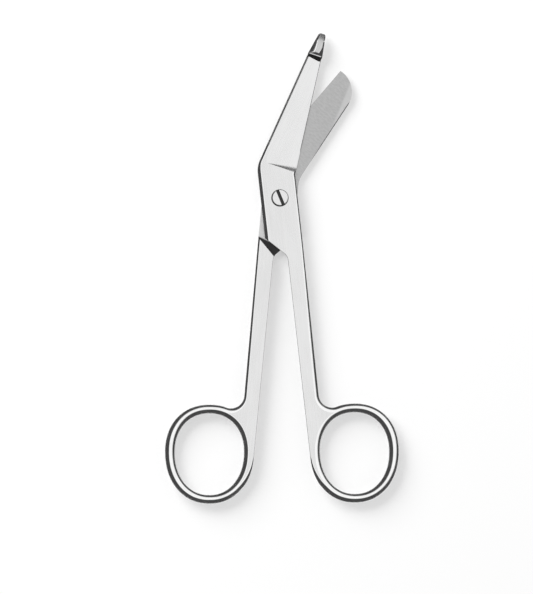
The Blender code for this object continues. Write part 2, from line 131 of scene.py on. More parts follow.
satin = {
    "flat": ("#dcdcdc", "#e6e6e6"),
    "blade": ("#e0e0e0", "#e9e9e9"),     # ground once more with a finer belt
    "probe": ("#bcbcbc", "#d8d8d8"),     # handled more and polished less
    "stops": (0.35, 0.65),
    "grain": (0.00022, 0.009, 0.009),    # fine belt lines: width across, length along the half
    "cloud": (0.006, 0.014, 0.006),      # slow unevenness of hand polishing
    "roughness": (0.22, 0.32),
    "middle": 0.27,                      # roughness where no pattern is drawn
    "bump": 0.06,
}


def makeSatinSteel(name, lean, place):
    # Martensitic stainless steel, belt ground and satin polished: pale soft reflections, a faint long grain
    shades = satin[place]
    material, tree, shader, spot = newSteel(name, shades[1], satin["middle"])
    grain = grainPattern(tree, spot, satin["grain"], lean, detail=3.0, roughness=0.6)
    both = bothPatterns(tree, grain, grainPattern(tree, spot, satin["cloud"], lean))
    showPattern(tree, shader, both, shades, satin["stops"], satin["roughness"])
    cutLines(tree, shader, satin["bump"], (grain, "Fac"))
    return material


buffed = {
    "shades": ("#efefef", "#f6f6f6"),
    "stops": (0.35, 0.65),
    "wave": 0.004,
    "roughness": (0.1, 0.16),
    "middle": 0.13,
}


def makeBuffedSteel():
    # The same steel where the buffing wheel rounded the edges: smoother, so its bands are crisp
    material, tree, shader, place = newSteel("buffedStainlessEdge", buffed["shades"][1], buffed["middle"])
    wave = grainPattern(tree, place, (buffed["wave"],) * 3, detail=3.0)
    showPattern(tree, shader, (wave, "Fac"), buffed["shades"], buffed["stops"], buffed["roughness"])
    return material


ground = {
    "shades": ("#b4b4b4", "#c2c2c2"),
    "stops": (0.38, 0.62),
    "bandPale": "#cccccc",
    "bandWidth": 0.0008,                 # the paler band by the tip fades in over this
    "lapPale": "#dadada",                # the lap face at the joint is worn brighter than the blade
    "lapFade": (0.002, -0.003),          # from here to here along Y, metres
    "line": (0.0018, 0.0005, 0.0018),    # lines across the blade: length, spacing; coarse, to show
    "fine": (0.0009, 0.00025, 0.0009),
    "roughness": (0.38, 0.5),
    "middle": 0.45,
    "bump": 0.15,
    # painted shade: a dark wedge on the lap face by the shoulder, where the gap between the halves lies in
    # shade
    "shoulderShade": "#3a3a3a",
    "shoulderShadeTurn": 25.0,                   # the wedge of painted shade along the shoulder opens by these degrees
    "shoulderShadeFade": 0.0002,
}


def makeGroundSteel(name, bladeLean, shadeRoot, shadeLean, band=None):
    # The same steel as the surface grinder left it on the inner faces: matte, greyer, lines across the blade
    material, tree, shader, place = newSteel(name, ground["shades"][1], ground["middle"])
    both = bothPatterns(tree, *(grainPattern(tree, place, ground[size], bladeLean)
                                for size in ("line", "fine")))
    bladeColour = showPattern(tree, shader, both, ground["shades"], ground["stops"], ground["roughness"])
    cutLines(tree, shader, ground["bump"], both)

    # Over it: where a place begins, which way it runs, between which distances it fades in, its colour
    lapFrom, lapTo = ground["lapFade"]
    shoulderShadeFade = ground["shoulderShadeFade"]
    places = [((0.0, 0.0, 0.0), 0.0, "Y", lapFrom, lapTo, ground["lapPale"])]
    if band:
        places.append((band[0], -radians(band[1]), "X", 0.0, ground["bandWidth"], ground["bandPale"]))
    # The dark wedge along the shoulder is painted shade for the gap between the halves
    places.append((shadeRoot, radians(shadeLean), "Y", shoulderShadeFade, -shoulderShadeFade, ground["shoulderShade"]))
    colour = (bladeColour, "Color")
    for root, turn, side, start, end, shade in places:
        placed = addNode(tree, "ShaderNodeMapping", {
            "vector_type": "TEXTURE", "Location": root, "Rotation": (0.0, 0.0, turn)},
            {"Vector": (place, "Object")})
        parts = addNode(tree, "ShaderNodeSeparateXYZ", None, {"Vector": placed})
        share = addNode(tree, "ShaderNodeMapRange", {
            "interpolation_type": "SMOOTHSTEP", "From Min": start, "From Max": end}, {"Value": (parts, side)})
        colour = addNode(tree, "ShaderNodeMix", {"data_type": "RGBA", "B": linearColour(shade)},
                         {"Factor": (share, "Result"), "A": colour}), "Result"
    tree.links.new(colour[0].outputs[colour[1]], shader.inputs["Base Color"])
    return material


# Dark shades: painted shade in the bores, the screw's slot and on the probe's ramp
recessShade = {"shades": ("#303030", "#5c5c5c"), "speck": 0.0003, "middle": 0.55}


def makeShadedRecessSteel():
    # Drilled and sawn steel, rough; its dark colour is painted shade for the bores, the screw's slot and the
    # probe's ramp
    material, tree, shader, place = newSteel("sawnAndBoredSteelPaintedShade", recessShade["shades"][1], recessShade["middle"])
    speck = grainPattern(tree, place, (recessShade["speck"],) * 3)
    showPattern(tree, shader, (speck, "Fac"), recessShade["shades"], (0.0, 1.0))
    return material


lathed = {
    "shades": ("#dcdcdc", "#eaeaea"),
    "ring": 0.00016,                     # from one ring to the next, metres
    "waveLength": 0.314,                 # of the wave texture at scale 1
    "roughness": (0.18, 0.28),
    "middle": 0.22,
}


def makeScrewSteel():
    # Turned stainless screw, faced on the lathe: faint rings round its middle
    material, tree, shader, place = newSteel("turnedScrewSteel", lathed["shades"][1], lathed["middle"])
    rings = addNode(tree, "ShaderNodeTexWave", {
        "wave_type": "RINGS", "rings_direction": "Z", "Scale": lathed["waveLength"] / lathed["ring"],
        "Distortion": 0.6, "Detail": 2.0}, {"Vector": (place, "Object")})
    showPattern(tree, shader, (rings, "Fac"), lathed["shades"], (0.0, 1.0), lathed["roughness"], (0.0, 1.0))
    return material


# Order of the steels on a half's faces
steelCount = 6
flatFace, edgeFace, groundFace, shadedRecessFace, bladeFace, probeFace = range(steelCount)


# Plane geometry, in millimetres

def heading(lean):
    return Vector((sin(radians(lean)), cos(radians(lean))))


def leftOf(direction):
    return Vector((-direction.y, direction.x))


def alongLine(root, direction, axis, reach):
    # Point on the line through root whose distance from the pivot along the axis is reach
    return root + direction * ((reach - root.dot(axis)) / direction.dot(axis))


def arcPoints(centre, start, end, steps):
    first = atan2(start.y, start.x)
    sweep = remainder(atan2(end.y, end.x) - first, tau)
    turns = [first + sweep * step / steps for step in range(steps + 1)]
    return [centre + Vector((cos(turn), sin(turn))) * start.length for turn in turns]


def roundedCorner(before, corner, after, radius, steps):
    back, ahead = (before - corner).normalized(), (after - corner).normalized()
    halfAngle = back.angle(ahead) / 2
    centre = corner + (back + ahead).normalized() * (radius / sin(halfAngle))
    start = corner + back * (radius / tan(halfAngle)) - centre
    end = corner + ahead * (radius / tan(halfAngle)) - centre
    return arcPoints(centre, start, end, steps)


def insetOutline(outline, amounts):
    # An amount is one distance, or a pair for the side before the point and the side after it
    moved = []
    for index, point in enumerate(outline):
        following = outline[(index + 1) % len(outline)]
        sideBefore = leftOf((point - outline[index - 1]).normalized())
        sideAfter = leftOf((following - point).normalized())
        if isinstance(amounts[index], tuple):
            sides = Matrix((sideBefore, sideAfter))
            moved.append(point + sides.inverted() @ Vector(amounts[index]))
        else:
            bisector = (sideBefore + sideAfter).normalized()
            moved.append(point + bisector * (amounts[index] / bisector.dot(sideBefore)))
    return moved


def between(start, end, share):
    return start + (end - start) * share


def softStep(share):
    share = min(max(share, 0.0), 1.0)
    return share * share * (3 - 2 * share)


# The forging of one half, drawn closed: origin on the pivot, handle on +X, spine on -X

stance = {"longTurn": 6.45, "shortTurn": -5.55}     # degrees that each half stands open

forging = {
    "thickness": 4.4,          # over the lap joint, the shanks and the rings
    "lapGap": 0.3,
    "jointHandleSide": 5.25,
    "shoulderDistance": 12.46, # from the pivot to the 45 degree shoulder
    "stopClearance": 0.3,
    "notchRadius": 3.0,
    "bendRadius": 7.5,         # of the spine
    "handleClearance": 0.3,
    "shankWidth": 4.5,
    "ringDistance": 78.0,
    "ringHoleWidth": 20.5,
    "ringHoleLength": 24.2,
    "ringWallSide": 3.0,
    "ringWallEnd": 2.7,
    "ringLean": 5.0,
    "ringPower": 2.15,         # 2 is an ellipse, more is squarer
    "ringEgg": 0.035,
    "webRadius": 3.95,
    "ringSteps": 200,
    "arcSteps": 20,
}

# How wide the buffed edge is, measured in across the flat
edgeWidths = {
    "spine": 0.8,
    "spineJoint": 1.2,         # below the spine's bend
    "jointSide": 0.65,
    "bladeRoot": 0.75,         # at the corner where the cutting edge begins
    "rootLength": 1.5,         # of the stretch just before that corner
    "cutting": 0.06,
    "inner": 0.13,             # between the handles the edge is left nearly sharp
    "ring": 1.5,
    "ringHole": 1.5,
    "changeLength": 12.0,      # of the inner edge above the ring that is drawn in short steps
    "changeTurn": 60.0,        # degrees round the ring over which the narrow edge grows to the ring's
    "changeStart": 0.25,       # share of that growth which lies before the ring
}

half = forging["thickness"] / 2
lap = forging["lapGap"] / 2
overcut = 1.0                  # how far a tool stands out past what it cuts
sliver = 0.004                 # how far it stands clear where two faces would lie on each other
lapToolSize = 150.0
tinyTurn = 0.001               # radians, to find the ring's direction
millimetre = 0.001


def ringPoint(turn, wallSide, wallEnd):
    # On the hole's border, or out from it by a wall
    halfWidth = forging["ringHoleWidth"] / 2 + wallSide
    halfLength = forging["ringHoleLength"] / 2 + wallEnd
    cosine, sine = cos(turn), sin(turn)
    power = 2 / forging["ringPower"]
    across = copysign(abs(cosine) ** power, cosine)
    length = copysign(abs(sine) ** power, sine)
    across *= halfWidth * (1 + forging["ringEgg"] * length)
    lean = heading(forging["ringLean"])
    return lean * (length * halfLength) - leftOf(lean) * across


def outerRingPoint(turn):
    return ringPoint(turn, forging["ringWallSide"], forging["ringWallEnd"])


def innermostTurn():
    turns = [pi + radians(step / 4) for step in range(-180, 181)]
    return min(turns, key=lambda turn: outerRingPoint(turn).x)


ringCentre = Vector((forging["handleClearance"] - outerRingPoint(innermostTurn()).x,
                     -forging["ringDistance"]))
shankBottom = ringCentre.y + forging["ringHoleLength"] / 2


def shankOuterX(y):
    top = -forging["shoulderDistance"]
    share = min(max((y - top) / (shankBottom - top), 0.0), 1.0)
    narrow = forging["handleClearance"] + forging["shankWidth"]
    return between(forging["jointHandleSide"], narrow, share)


def webCentre(turn):
    point = outerRingPoint(turn)
    tangent = (outerRingPoint(turn + tinyTurn) - point).normalized()
    return ringCentre + point - leftOf(tangent) * forging["webRadius"]


def webTurn():
    low, high = tau + pi / 2, tau + pi
    for _ in range(40):
        middle = (low + high) / 2
        centre = webCentre(middle)
        if centre.x - forging["webRadius"] > shankOuterX(centre.y):
            low = middle
        else:
            high = middle
    return (low + high) / 2


class Blade:
    def __init__(self, sizes):
        self.sizes = sizes
        self.spineRoot = Vector((-sizes["spineSide"], sizes["spineRoot"]))
        self.edgeRoot = Vector((forging["jointHandleSide"], sizes["edgeRoot"]))
        self.spine = heading(sizes["spineLean"])
        self.edge = heading(sizes["edgeLean"])
        self.axis = heading((sizes["spineLean"] + sizes["edgeLean"]) / 2)
        self.reach = sizes["reach"]

    def spineAt(self, reach):
        return alongLine(self.spineRoot, self.spine, self.axis, reach)

    def edgeAt(self, reach):
        return alongLine(self.edgeRoot, self.edge, self.axis, reach)

    def width(self, reach):
        return (self.edgeAt(reach) - self.spineAt(reach)).length

    def across(self, reach, distance, height):
        spine, edge = self.spineAt(reach), self.edgeAt(reach)
        point = spine + (edge - spine).normalized() * distance
        return raised(point, height)


def halfOutline(blade, bladeEnd):
    # Counterclockwise from the spine's bend; every point carries the width of its buffed edge
    widths, shankWidth = edgeWidths, blade.sizes["shankEdge"]
    clearance = forging["handleClearance"]
    chamferSum = (forging["shoulderDistance"] - forging["stopClearance"]) * sqrt(2)
    chamferTop = Vector((blade.spineRoot.x, -blade.spineRoot.x - chamferSum))
    notch = Vector((clearance, -clearance - chamferSum))
    arcSteps = forging["arcSteps"]
    first, last = innermostTurn(), webTurn()
    ringSteps = forging["ringSteps"]
    ring = [ringCentre + outerRingPoint(first + (last - first) * step / ringSteps)
            for step in range(ringSteps + 1)]
    centre = webCentre(last)
    web = arcPoints(centre, ring[-1] - centre, Vector((-forging["webRadius"], 0)), arcSteps)

    bend = roundedCorner(bladeEnd[-1], blade.spineRoot, chamferTop, forging["bendRadius"], arcSteps)
    labelled = []
    for index, point in enumerate(bend):
        labelled.append((point, between(widths["spine"], widths["spineJoint"], softStep(index / arcSteps))))
    labelled.append((chamferTop, (widths["spineJoint"], widths["inner"])))
    labelled += [(point, widths["inner"]) for point in
                 roundedCorner(chamferTop, notch, ring[0], forging["notchRadius"], arcSteps)]
    # Down the straight inner edge; round the first part of the ring the narrow edge grows to the ring's
    changeTop = ring[0].y + widths["changeLength"]
    for step in range(arcSteps):
        y = changeTop + (ring[0].y - changeTop) * step / arcSteps
        labelled.append((Vector((clearance, y)), widths["inner"]))
    for index, point in enumerate(ring[:-1]):
        turnSoFar = degrees(last - first) * index / ringSteps
        share = softStep(turnSoFar / widths["changeTurn"] + widths["changeStart"])
        labelled.append((point, between(widths["inner"], widths["ring"], share)))
    for index, point in enumerate(web):
        labelled.append((point, between(widths["ring"], shankWidth, softStep(index / arcSteps))))
    top = -forging["shoulderDistance"]
    for step in range(1, arcSteps + 1):
        y = web[-1].y + (top - web[-1].y) * step / arcSteps
        width = between(shankWidth, widths["jointSide"], softStep(step / arcSteps))
        labelled.append((Vector((shankOuterX(y), y)), width))
    labelled.append((blade.edgeRoot - Vector((0, widths["rootLength"])), widths["jointSide"]))
    labelled.append((blade.edgeRoot, widths["bladeRoot"]))
    labelled += [(point, widths["cutting"]) for point in bladeEnd[:-1]]
    labelled.append((bladeEnd[-1], widths["spine"]))
    return [point for point, _ in labelled], [width for _, width in labelled]


# Section of a buffed edge for an edge 1 wide: it leaves the flat softly, steepens to its slope and then
# turns down into the side. Pairs are how far out from the flat's border and how far down.

edgeSection = {
    "slope": 40.0,
    "softness": 3.0,           # higher keeps the slope up nearer to the flat
    "rimRadius": 0.05,
    "slopeSteps": 9,
    "rimSteps": 4,
    # The rings are rounder: how far out from the flat's border, tilt in degrees
    "ringTilts": ((0.0, 0.0), (0.1, 20.0), (0.5, 32.0), (0.7, 41.0), (1.0, 44.0)),
}


def slopeLine(tiltAt, steps):
    # Runs from 0 to 1 and falls by its tilt at each place
    points, drop, fine = [(0.0, 0.0)], 0.0, 20
    for step in range(steps * fine):
        share = (step + 0.5) / (steps * fine)
        drop += tan(tiltAt(share)) / (steps * fine)
        if (step + 1) % fine == 0:
            points.append(((step + 1) / (steps * fine), drop))
    return points


def softSlope(slope, softness, steps):
    # The tilt grows from nothing to the slope, soft where it leaves the flat
    return slopeLine(lambda share: slope * (1 - (1 - share) ** softness), steps)


def ringTilt(share):
    tilts = edgeSection["ringTilts"]
    for (start, low), (end, high) in zip(tilts, tilts[1:]):
        if share <= end:
            return radians(low + (high - low) * (share - start) / (end - start))


def edgeProfile(line, slope):
    radius = edgeSection["rimRadius"]
    run = 1 - radius * (1 - sin(slope))
    points = [(out * run, drop * run) for out, drop in line]
    outWas, dropWas = points[-1]
    for step in range(1, edgeSection["rimSteps"] + 1):
        turn = slope + (pi / 2 - slope) * step / edgeSection["rimSteps"]
        points.append((outWas + radius * (sin(turn) - sin(slope)),
                       dropWas + radius * (cos(slope) - cos(turn))))
    return points


edgeSlope, slopeSteps = radians(edgeSection["slope"]), edgeSection["slopeSteps"]
profile = edgeProfile(softSlope(edgeSlope, edgeSection["softness"], slopeSteps), edgeSlope)
ringProfile = edgeProfile(slopeLine(ringTilt, slopeSteps), ringTilt(1.0))


# Solids

def meshObject(name, bm, faceKind=None):
    bmesh.ops.recalc_face_normals(bm, faces=bm.faces[:])
    mesh = bpy.data.meshes.new(name)
    bm.to_mesh(mesh)
    bm.free()
    item = addObject(name, mesh)
    for _ in range(steelCount):
        mesh.materials.append(None)
    if faceKind is not None:
        mesh.polygons.foreach_set("material_index", [faceKind] * len(mesh.polygons))
    return item


def loft(name, rings, faceKind=None, kindAt=None):
    # Closed solid through rings of equally many points, flat at both ends
    bm = bmesh.new()
    levels = [[bm.verts.new(point) for point in ring] for ring in rings]
    for span, (lower, upper) in enumerate(zip(levels, levels[1:])):
        for index in range(len(lower)):
            face = bm.faces.new((lower[index - 1], lower[index], upper[index], upper[index - 1]))
            face.material_index = kindAt(span, index) if kindAt else 0
    bm.faces.new(levels[0])
    bm.faces.new(levels[-1])
    return meshObject(name, bm, faceKind)


# The bore's faces take the dark recess steel, painted shade
def boreTool(pairs):
    rings, steps = [], screw["boreStepsRound"]
    for radius, height in pairs:
        turns = [tau * step / steps for step in range(steps)]
        rings.append([Vector((radius * cos(turn), radius * sin(turn), height)) for turn in turns])
    return loft("bore", rings, shadedRecessFace)


def applyTool(item, tool, operation="DIFFERENCE"):
    modifier = item.modifiers.new(tool.name, "BOOLEAN")
    modifier.operation = operation
    modifier.solver = "EXACT"
    modifier.object = tool
    modifier.material_mode = "INDEX"
    bakeModifiers(item)
    bpy.data.objects.remove(tool, do_unlink=True)


def bakeModifiers(item):
    evaluated = item.evaluated_get(bpy.context.evaluated_depsgraph_get())
    mesh = bpy.data.meshes.new_from_object(evaluated)
    old = item.data
    item.modifiers.clear()
    item.data = mesh
    bpy.data.meshes.remove(old)


def blank(name, outline, widths):
    # At a corner with a pair of widths the first one sets how far down the edge reaches.
    # The widest edges, round the rings, have the rounder section.
    deep = [width[0] if isinstance(width, tuple) else width for width in widths]
    roundFrom = edgeWidths["spineJoint"]
    roundness = [softStep((width - roundFrom) / (edgeWidths["ring"] - roundFrom)) for width in deep]
    pairs = list(zip(profile, ringProfile))
    rings = []
    for face in (-1, 1):
        for (out, drop), (ringOut, ringDrop) in (pairs if face < 0 else reversed(pairs)):
            amounts, heights = [], []
            for width, depth, share in zip(widths, deep, roundness):
                left = 1 - out - (ringOut - out) * share
                if isinstance(width, tuple):
                    amounts.append(tuple(side * left for side in width))
                else:
                    amounts.append(width * left)
                heights.append(face * (half - depth * (drop + (ringDrop - drop) * share)))
            rings.append([raised(point, height)
                          for point, height in zip(insetOutline(outline, amounts), heights)])
    return loft(name, rings, None, lambda span, index: edgeFace)


def ringHoleTool():
    width = edgeWidths["ringHole"]
    levels = [(-half - overcut, width)]
    levels += [(-half - sliver + width * drop, width * (1 - out)) for out, drop in ringProfile]
    levels += [(half + sliver - width * drop, width * (1 - out)) for out, drop in reversed(ringProfile)]
    levels.append((half + overcut, width))
    steps = forging["ringSteps"]
    rings = []
    for height, grown in levels:
        rings.append([raised(ringCentre + ringPoint(tau * step / steps, grown, grown), height)
                      for step in range(steps)])
    return loft("ringHole", rings, edgeFace)


def lapTool():
    # A block under the lap plane, as wide as any blade is long, from the shoulder on
    size, depth = lapToolSize, half + overcut + lap
    centre = Vector((0, size / 2 - forging["shoulderDistance"], lap - depth / 2))
    bm = bmesh.new()
    bmesh.ops.create_cube(bm, size=1.0)
    bmesh.ops.scale(bm, vec=Vector((size, size, depth)), verts=bm.verts[:])
    bmesh.ops.translate(bm, vec=centre, verts=bm.verts[:])
    tool = meshObject("lap", bm, groundFace)
    tool.data.transform(Matrix.Rotation(radians(45), 4, "Z"))
    return tool


def grindSection(blade, reach, spineHeight, edgeHeight):
    # Underside of the grinding tool across the blade: buffed spine, straight to the cutting edge, its bevel
    width = blade.width(reach)
    spineWidth = edgeWidths["spine"]
    section = [(-overcut, spineHeight - spineWidth * profile[-1][1])]
    for out, drop in reversed(profile):
        section.append((spineWidth * (1 - out) - sliver, spineHeight - spineWidth * drop))
    bevel = grinding["bevel"]
    section.append((width - bevel, edgeHeight))
    bevelFall = (bevel + overcut) * riseOf(grinding["bevelSlope"])
    section.append((width + overcut, edgeHeight - bevelFall))
    return section


grinding = {
    "start": 8.4,              # from the pivot to the crease
    "rise": 0.22,              # the ground face runs out of the flat a little inside the spine
    "rampSlope": 44.0,
    "rampSoftness": 2.2,
    "rampSteps": 12,
    "edgeAtCrease": 0.4,       # thickness of the cutting edge at the crease
    "edgeThickness": 0.45,     # and towards the tip
    "bevel": 0.12,             # the cutting edge is whetted from outside
    "bevelSlope": 38.0,
    "tipSpineThickness": 0.75,
    "stations": 12,
    "hollowDepth": 0.12,
    "hollowLand": 0.8,
    "hollowStart": 0.08,       # shares of the ground length
    "hollowEnd": 0.88,
    "hollowSteps": 24,
}


def grindTool(blade):
    # From the crease a ramp falls at its slope and runs out softly into the ground face
    start, top, startHeight = grinding["start"], half + overcut, half + grinding["rise"]
    endHeight = lap + grinding["tipSpineThickness"]
    far = blade.reach + 2 * overcut
    ramp = softSlope(radians(grinding["rampSlope"]), grinding["rampSoftness"], grinding["rampSteps"])
    fullDrop = ramp[-1][1]
    creaseSection = grindSection(blade, start, startHeight, lap + grinding["edgeAtCrease"])
    rings = []
    for out, drop in reversed(ramp):
        ring = []
        for across, height in creaseSection:
            depth = startHeight + sliver - height
            reach = start + depth / fullDrop * (1 - out)
            ring.append(blade.across(reach, across, height + depth * drop / fullDrop))
        ring.append(blade.across(ring[-1].xy.dot(blade.axis), across, top))
        ring.append(blade.across(ring[0].xy.dot(blade.axis), -overcut, top))
        rings.append(ring)
    rampEnd = start + (startHeight - creaseSection[-1][1]) / fullDrop
    for step in range(1, grinding["stations"] + 1):
        reach = rampEnd + (far - rampEnd) * step / grinding["stations"]
        along = (reach - start) / (far - start)
        thinned = (grinding["edgeAtCrease"] - grinding["edgeThickness"]) * (1 - along) ** 2
        section = grindSection(blade, reach, between(startHeight, endHeight, along),
                               lap + grinding["edgeThickness"] + thinned)
        section += [(section[-1][0], top), (-overcut, top)]
        rings.append([blade.across(reach, across, height) for across, height in section])
    bevelFace = len(creaseSection) - 1
    return loft("grind", rings, None, lambda span, index: edgeFace if index == bevelFace else bladeFace)


def hollowTool(blade):
    rings = []
    steps = grinding["hollowSteps"]
    groundLength = blade.reach - grinding["start"]
    land = grinding["hollowLand"]
    for station in range(steps + 1):
        share = station / steps
        groundShare = between(grinding["hollowStart"], grinding["hollowEnd"], share)
        reach = grinding["start"] + groundLength * groundShare
        width = blade.width(reach) - 2 * land
        depth = grinding["hollowDepth"] * sqrt(sin(pi * share))
        ring = []
        for step in range(steps + 1):
            place = 2 * step / steps - 1
            rise = (depth + sliver) * (1 - place * place) - sliver
            ring.append(blade.across(reach, land + width * step / steps, lap + rise))
        ring.append(blade.across(reach, land + width, lap - overcut))
        ring.append(blade.across(reach, land, lap - overcut))
        rings.append(ring)
    return loft("hollow", rings, groundFace)


# Long blade and its probe

longBlade = {
    "spineSide": 5.75,
    "spineRoot": 10.0,
    "spineLean": 30.7,
    "edgeRoot": 6.4,
    "edgeLean": 19.2,
    "reach": 43.2,
    "shankEdge": 1.2,          # width of the buffed edge along the handle
}

probe = {
    "length": 6.86,
    "collar": 0.34,            # from the blade's end to the top of the ramp
    "collarLength": 0.25,
    "collarDrop": 0.5,         # from the crest down to the collar
    "collarSides": (2.12, 2.3),    # from the blade's middle line to the spine side and to the edge side
    "endSides": (0.85, 1.15),
    "flatInset": 0.4,          # from the sides in to the flat of the collar and of the end
    # Reach from the collar, insets of the crest's two borders
    "crest": ((0.95, 1.6, 1.15), (1.9, 1.5, 0.75), (2.8, 1.25, 0.45), (4.05, 0.9, 0.4)),
    "thickness": 3.1,
    "rampSlope": 37.0,
    "rampLow": 0.16,
    "innerRamp": 0.9,
    "leftSlope": 26.0,
    "rightSlope": 39.0,
    "rim": 0.32,
    "rimSlope": 38.0,
    "softShare": 0.25,         # of the spine side's slope, next to the crest, that falls half as steeply
    "nose": 2.8,
    "noseSlopes": (27.0, 32.0, 35.0, 37.0, 39.0),
    "noseFalls": 0.5,          # the sides are a little less steep at the end
    "noseUnder": 0.25,         # the underside comes up by this share of the nose's drop
    "endRim": 0.03,
}


def probeRing(blade, reach, sides, insets, top, bottom, falls):
    # From the spine side over the top to the edge side, then back underneath
    left, right = sides
    rim = probe["rim"]
    leftSlope, rightSlope, rimSlope = [falls * riseOf(probe[key])
                                       for key in ("leftSlope", "rightSlope", "rimSlope")]
    soft = probe["softShare"] * (insets[0] - rim)
    softHeight = top - soft * leftSlope / 2
    shoulder = softHeight - (insets[0] - rim - soft) * leftSlope
    line = [(-left, shoulder - rim * rimSlope), (-left + rim, shoulder),
            (-left + insets[0] - soft, softHeight), (-left + insets[0], top),
            (right - insets[1], top), (right, top - insets[1] * rightSlope),
            (right, bottom + rim * rimSlope), (right - rim, bottom),
            (-left + rim, bottom), (-left, bottom + rim * rimSlope)]
    middle = (blade.spineAt(blade.reach) + blade.edgeAt(blade.reach)) / 2 + blade.axis * (reach - blade.reach)
    across = -leftOf(blade.axis)
    return [Vector((middle.x + across.x * place, middle.y + across.y * place, height))
            for place, height in line]


def probeKind(span, index):
    # Spans 0 and 1 are the ramp, span 2 is the collar; side 4 is the top, sides 1 to 5 look up.
    # The ramp's upward sides take the dark recess steel, painted shade; the collar and the tops are satin,
    # the slopes and the sides buffed.
    if span < 2 and 1 <= index <= 5:
        return shadedRecessFace
    return probeFace if index == 4 or span == 2 and index < 6 else edgeFace


def probeTool(blade):
    high, low = half, half - probe["thickness"]
    collar, end = blade.reach + probe["collar"], blade.reach + probe["collar"] + probe["length"]
    collarHigh = high - probe["collarDrop"]
    flatInsets = (probe["flatInset"],) * 2

    def sidesAt(reach):
        share = (reach - collar) / (end - collar)
        return [between(base, tip, share) for base, tip in zip(probe["collarSides"], probe["endSides"])]

    rampLow = lap + probe["rampLow"]
    rampStart = collar - (collarHigh - rampLow) / riseOf(probe["rampSlope"])
    bladeHalf = blade.width(rampStart) / 2 - probe["rim"]
    levels = []
    for reach in (rampStart, collar - probe["innerRamp"]):
        share = (reach - rampStart) / (collar - rampStart)
        sides = [between(bladeHalf, side, share) for side in probe["collarSides"]]
        levels.append((reach, sides, flatInsets, between(rampLow, collarHigh, share), lap + sliver, share))
    for reach in (collar, collar + probe["collarLength"]):
        levels.append((reach, sidesAt(reach), flatInsets, collarHigh, low, 1.0))
    for reach, *insets in probe["crest"]:
        levels.append((collar + reach, sidesAt(collar + reach), insets, high, low, 1.0))
    # The nose steepens towards the end
    slopes, under = probe["noseSlopes"], probe["noseUnder"]
    stepLength = (probe["nose"] - probe["endRim"]) / len(slopes)
    drop = 0.0
    for step in range(len(slopes) + 1):
        share = step / len(slopes)
        reach = end - probe["nose"] + stepLength * step
        insets = [between(inset, probe["flatInset"], share) for inset in probe["crest"][-1][1:]]
        levels.append((reach, sidesAt(reach), insets, high - drop, low + drop * under,
                       between(1, probe["noseFalls"], share)))
        if step < len(slopes):
            drop += stepLength * riseOf(slopes[step])
    rim = probe["endRim"]
    sides = [side - rim / 2 for side in sidesAt(end)]
    levels.append((end, sides, flatInsets, high - drop - rim, low + drop * under + rim, probe["noseFalls"]))
    return loft("probe", [probeRing(blade, *level) for level in levels], None, probeKind)


# Short blade

shortBlade = {
    "spineSide": 5.1,
    "spineRoot": 6.0,
    "spineLean": -27.8,
    "edgeRoot": 11.5,
    "shankEdge": 0.85,
    "edgeLean": -35.0,
    "reach": 41.1,
    "tipRadius": 7.4,
    "tipSteps": 40,
    "spineBreakSlope": 40.0,
    "spineBreakOver": 0.3,     # how far its tool stands out past the corner
    # Reach from the pivot, width of the break
    "spineBreak": ((13.0, -0.02), (19.0, 0.19), (34.0, 0.25), (37.0, -0.02)),
    "band": {"reach": 36.0, "inset": 2.6, "turn": 11.0},    # paler, opens towards the tip
}


def roundedTip(blade):
    corner = blade.edgeAt(blade.reach)
    radius = blade.sizes["tipRadius"]
    side = -leftOf(blade.spine)
    depth = (corner - blade.spineRoot).dot(side)
    centre = corner + side * (radius - depth)
    centre += blade.spine * -sqrt(radius ** 2 - (radius - depth) ** 2)
    return arcPoints(centre, corner - centre, side * -radius, blade.sizes["tipSteps"])


def spineBreakTool(blade):
    # The stone takes the sharp corner off the spine on the inner face
    over, rise = blade.sizes["spineBreakOver"], riseOf(blade.sizes["spineBreakSlope"])
    low = lap - over * rise
    rings = []
    for reach, width in blade.sizes["spineBreak"]:
        rings.append([blade.across(reach, width + over, low),
                      blade.across(reach, -over, lap + (width + over) * rise),
                      blade.across(reach, -over, low)])
    return loft("spineBreak", rings, edgeFace)


# Pivot screw

screw = {
    "headRadius": 2.52,
    "counterboreRadius": 2.57,
    "boreShift": (-0.01, -0.04),    # the head leaves a wider gap at the bottom
    "headHeight": 1.25,
    "headRim": 0.55,           # the head's edge is rounded off softly
    "headRimSlope": 34.0,
    "headRimSoftness": 2.5,
    "headRimSteps": 8,
    "underRim": 0.05,          # corner broken under the head
    "shankRadius": 1.6,
    "threadRadius": 1.25,
    "threadPitch": 0.5,
    "threadDepth": 0.1,
    "threadSteps": 48,
    "threadStop": 0.25,        # from the lap face down to the thread
    "endBreak": (0.2, 0.15),   # corner broken at the thread's end, across and up
    "clearance": 0.3,
    "seatWall": 0.6,
    "slotWidth": 0.95,
    "slotDepth": 0.7,
    "sawLength": 8.0,
    "sawHeight": 3.0,
    "slotTurn": 22.5,
    "slotOffset": 0.18,        # sawn a little off the middle
    "sweepRadius": 1.0,
    "poleWeld": 0.0005,        # joins the points that the sweep leaves on the axis
    "stepsRound": 128,
    "boreStepsRound": 96,
}

seatHeight = lap + screw["seatWall"]
underHead = seatHeight + screw["clearance"]
headTop = underHead + screw["headHeight"]


def worldPlace(point, turnOver, openTurn):
    # A point of the closed drawing, in metres where the half stands at rest
    placed = Matrix.Rotation(radians(openTurn), 2) @ Vector((-point.x if turnOver else point.x, point.y))
    return placed.x * millimetre, placed.y * millimetre, 0.0


finish = {
    "weld": 0.002,             # points and edges closer than these are left over from the cuts
    "sliverEdge": 0.001,
    "halfSharp": 28.0,         # an edge that turns by more degrees than this stays sharp
    "screwSharp": 30.0,
    "halfFlats": 60,           # how strongly the flats pull the shading straight
    "screwFlats": 50,
}


